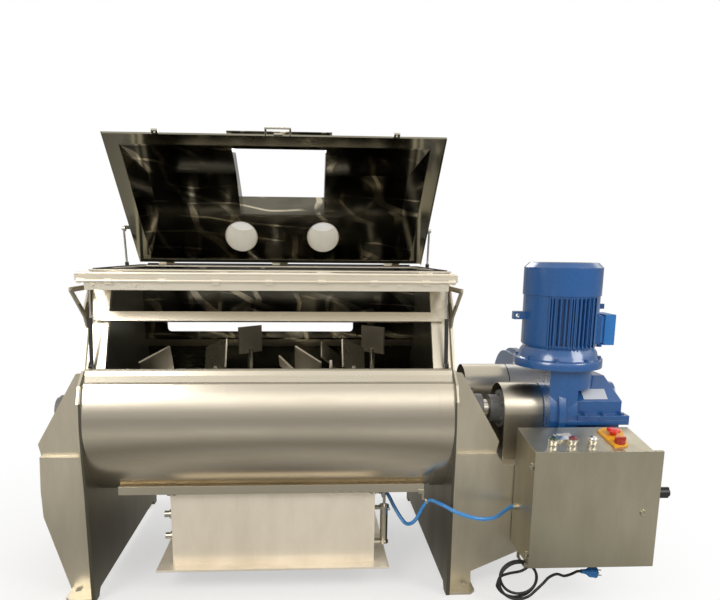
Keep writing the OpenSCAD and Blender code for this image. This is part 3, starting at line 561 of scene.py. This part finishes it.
panel = {
    "left": 1.028,
    "front": -0.690,
    "top": 0.680,
    "slope": math.atan(36 / 220),
    "buttons": [
        ("button_start", 0.086, "green"), ("button_stop", 0.165, "darkRed"), ("button_jog", 0.246, "chrome"),
    ],
    "buttonRow": 0.048,
    "cap": [
        (0, 0.0316), (0.0165, 0.0316), (0.0172, 0.034), (0.0165, 0.0375), (0.012, 0.0405), (0.006, 0.0420),
        (0, 0.0424),
    ],
    "bezel": [
        (0, 0.0), (0.0175, 0.0), (0.0180, 0.003), (0.0160, 0.006), (0.0160, 0.014), (0.0190, 0.0225),
        (0.0198, 0.031), (0.0190, 0.0335), (0.0174, 0.0335), (0.0174, 0.0262), (0, 0.0262),
    ],
    "estop": (0.370, 0.136),
    "dome": [
        (0, 0.022), (0.0235, 0.022), (0.0265, 0.024), (0.0272, 0.027), (0.0262, 0.030), (0.021, 0.0325),
        (0.011, 0.0340), (0, 0.0344),
    ],
    "neck": [(0, 0.008), (0.0125, 0.008), (0.0125, 0.022), (0, 0.022)],
}


def panelPlace(p, x, d):
    # a place on the sloped panel: x from its left edge and d up the slope from its front edge
    c, s = math.cos(p["slope"]), math.sin(p["slope"])
    return np.array([p["left"] + x, p["front"] + d * c, p["top"] + d * s])


def addPanel(p):
    up = np.array([0, -math.sin(p["slope"]), math.cos(p["slope"])])
    for node, x, finish in p["buttons"]:
        place = panelPlace(p, x, p["buttonRow"])
        head = mesh(node + "Cap", *turned(p["cap"], place, up, 48), finish, node)
        stem = mesh(node + "Bezel", *turned(p["bezel"], place, up, 48), "chrome")
        for o in (head, stem):
            o.data.set_sharp_from_angle(angle=math.radians(50))
        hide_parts(node)
    place = panelPlace(p, *p["estop"])
    mushroom = mesh("estopDome", *turned(p["dome"], place, up, 48), "red", "estop_button")
    mesh("estopNeck", *turned(p["neck"], place, up, 48), "red", "estop_button")
    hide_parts("estop_button")


addPanel(panel)

plate = {
    "corner": (1.336, -0.400, 0.812),
    "turn": math.atan(93 / 110),
    "x": (0.002, 0.108),
    "d": (0.010, 0.066),
    "h": (0.0008, 0.0021),
}


def box(corners, finish, name):
    # eight corners in the order x, then y, then z, the lower value of each first
    faces = [(0, 1, 3, 2), (4, 6, 7, 5), (0, 4, 5, 1), (2, 3, 7, 6), (0, 2, 6, 4), (1, 5, 7, 3)]
    return mesh(name, corners, faces, finish, smooth=False)


def addNameplate(p):
    c, s = math.cos(p["turn"]), math.sin(p["turn"])
    x, d, h = np.array([(x, d, h) for x in p["x"] for d in p["d"] for h in p["h"]]).T
    corners = np.stack([x, d * c - h * s, d * s + h * c], 1) + np.array(p["corner"])
    box(corners, "plate", "barePlate")


addNameplate(plate)

strip = {"x": 0.700, "y": (0.4625, 0.4640), "z": (1.3605, 1.3715)}


def addHingeStrip(h):
    y, z = h["y"], h["z"]
    corners = np.array([(x, b, c) for x in (-h["x"], h["x"]) for b in y for c in z])
    box(corners, "black", "hingeStrip")


addHingeStrip(strip)
print("motor, panel and hinge strip made")

# studio: a pale floor that fades into white, a white background, and soft lamps; shiny surfaces see a
# darker, banded room instead, so that the steel isn't flat
studio = {
    "floorSize": 40.0,
    "floorZ": -0.001,
    "worldLevel": 0.62,
    "roomBands": [
        (0.0, 0.10), (0.49, 0.22), (0.52, 0.46), (0.57, 0.40), (0.62, 0.55), (0.67, 1.0), (0.72, 1.7),
        (0.77, 1.5), (0.82, 0.70), (0.90, 0.85), (1.0, 0.8),
    ],
    "glowFrom": 0.7,
    "glowTo": 2.4,
    "glowLeast": 0.55,
    "shineReach": 5.0,
    "shineBands": [
        (0.10, (0.10, 0.095, 0.082)), (0.19, (0.42, 0.40, 0.35)), (0.30, (0.20, 0.19, 0.165)),
        (0.52, (0.62, 0.60, 0.54)), (0.9, (0.36, 0.35, 0.32)),
    ],
    "lamps": [
        {"place": (-2.6, -3.6, 3.6), "aim": (0, 0, 0.8), "size": 2.4, "power": 95, "colour": (1, 0.97, 0.92)},
        {
            "place": (3.4, -2.6, 3.0), "aim": (0.4, 0, 0.8), "size": 2.0, "power": 60,
            "colour": (1, 0.98, 0.95),
        },
        {"place": (0.2, 3.2, 3.4), "aim": (0, 0, 1.0), "size": 2.4, "power": 50, "colour": (0.95, 0.97, 1)},
    ],
}


def addWorld(s):
    world = bpy.data.worlds.new("world")
    bpy.context.scene.world = world
    world.use_nodes = True
    t = world.node_tree
    soft = t.nodes["Background"]
    soft.inputs["Color"].default_value = (1, 0.985, 0.96, 1)
    soft.inputs["Strength"].default_value = s["worldLevel"]
    white = t.nodes.new("ShaderNodeBackground")
    white.inputs["Color"].default_value = (1, 1, 1, 1)
    room = t.nodes.new("ShaderNodeBackground")
    coord = t.nodes.new("ShaderNodeTexCoord")
    split = t.nodes.new("ShaderNodeSeparateXYZ")
    t.links.new(coord.outputs["Generated"], split.inputs[0])
    half = t.nodes.new("ShaderNodeMath")
    half.operation = "MULTIPLY_ADD"
    half.inputs[1].default_value, half.inputs[2].default_value = 0.5, 0.5
    t.links.new(split.outputs["Z"], half.inputs[0])
    ramp = t.nodes.new("ShaderNodeValToRGB")
    while len(ramp.color_ramp.elements) < len(s["roomBands"]):
        ramp.color_ramp.elements.new(0.5)
    for e, (pos, v) in zip(ramp.color_ramp.elements, s["roomBands"]):
        e.position, e.color = pos, (v, v * 0.97, v * 0.90, 1)
    t.links.new(half.outputs[0], ramp.inputs["Fac"])
    t.links.new(ramp.outputs["Color"], room.inputs["Color"])
    path = t.nodes.new("ShaderNodeLightPath")
    first = t.nodes.new("ShaderNodeMixShader")
    t.links.new(path.outputs["Is Glossy Ray"], first.inputs[0])
    t.links.new(soft.outputs[0], first.inputs[1])
    t.links.new(room.outputs[0], first.inputs[2])
    second = t.nodes.new("ShaderNodeMixShader")
    t.links.new(path.outputs["Is Camera Ray"], second.inputs[0])
    t.links.new(first.outputs[0], second.inputs[1])
    t.links.new(white.outputs[0], second.inputs[2])
    t.links.new(second.outputs[0], t.nodes["World Output"].inputs["Surface"])


def addFloor(s):
    half, z = s["floorSize"] / 2, s["floorZ"]
    me = bpy.data.meshes.new("floor")
    corners = [(-half, -half, z), (half, -half, z), (half, half, z), (-half, half, z)]
    me.from_pydata(corners, [], [(0, 1, 2, 3)])
    floor = bpy.data.objects.new("floor", me)
    bpy.context.collection.objects.link(floor)
    n = Nodes("floorPale")
    n.bsdf.inputs["Base Color"].default_value = (0.90, 0.90, 0.89, 1)
    n.bsdf.inputs["Roughness"].default_value = 0.9
    # white light that takes over with the distance from the machine, seen by the camera alone
    flat = n.tree.nodes.new("ShaderNodeVectorMath")
    flat.operation = "LENGTH"
    n.link(n.coord, flat.inputs[0])
    near = n.tree.nodes.new("ShaderNodeMapRange")
    near.interpolation_type = "SMOOTHSTEP"
    near.inputs["From Min"].default_value = s["glowFrom"]
    near.inputs["From Max"].default_value = s["glowTo"]
    near.inputs["To Min"].default_value = s["glowLeast"]
    n.link(flat.outputs["Value"], near.inputs["Value"])
    glow = n.tree.nodes.new("ShaderNodeEmission")
    path = n.tree.nodes.new("ShaderNodeLightPath")
    seen = n.tree.nodes.new("ShaderNodeMath")
    seen.operation = "MULTIPLY"
    n.link(near.outputs[0], seen.inputs[0])
    n.link(path.outputs["Is Camera Ray"], seen.inputs[1])
    mix = n.tree.nodes.new("ShaderNodeMixShader")
    n.link(seen.outputs[0], mix.inputs[0])
    n.link(n.bsdf.outputs[0], mix.inputs[1])
    n.link(glow.outputs[0], mix.inputs[2])
    # shiny steel sees a darker floor
    dark = n.tree.nodes.new("ShaderNodeEmission")
    reach = n.tree.nodes.new("ShaderNodeMapRange")
    reach.inputs["From Max"].default_value = s["shineReach"]
    n.link(flat.outputs["Value"], reach.inputs["Value"])
    n.link(n.ramp(reach.outputs[0], s["shineBands"]), dark.inputs["Color"])
    shiny = n.tree.nodes.new("ShaderNodeMixShader")
    n.link(path.outputs["Is Glossy Ray"], shiny.inputs[0])
    n.link(mix.outputs[0], shiny.inputs[1])
    n.link(dark.outputs[0], shiny.inputs[2])
    n.link(shiny.outputs[0], n.tree.nodes["Material Output"].inputs["Surface"])
    me.materials.append(n.mat)


def addLamps(s):
    for i, l in enumerate(s["lamps"]):
        lamp = bpy.data.lights.new("lamp%d" % i, "AREA")
        lamp.shape, lamp.size = "DISK", l["size"]
        lamp.energy, lamp.color = l["power"], l["colour"]
        o = bpy.data.objects.new("lamp%d" % i, lamp)
        bpy.context.collection.objects.link(o)
        aim = np.array(l["aim"]) - np.array(l["place"])
        z = -aim / np.linalg.norm(aim)
        x = np.cross((0, 0, 1), z)
        x /= np.linalg.norm(x)
        m = np.eye(4)
        m[:3, 0], m[:3, 1], m[:3, 2], m[:3, 3] = x, np.cross(z, x), z, l["place"]
        o.matrix_world = Matrix(m.tolist())


addWorld(studio)
addFloor(studio)
addLamps(studio)
bpy.context.scene.view_settings.view_transform = "Standard"
print("studio made")
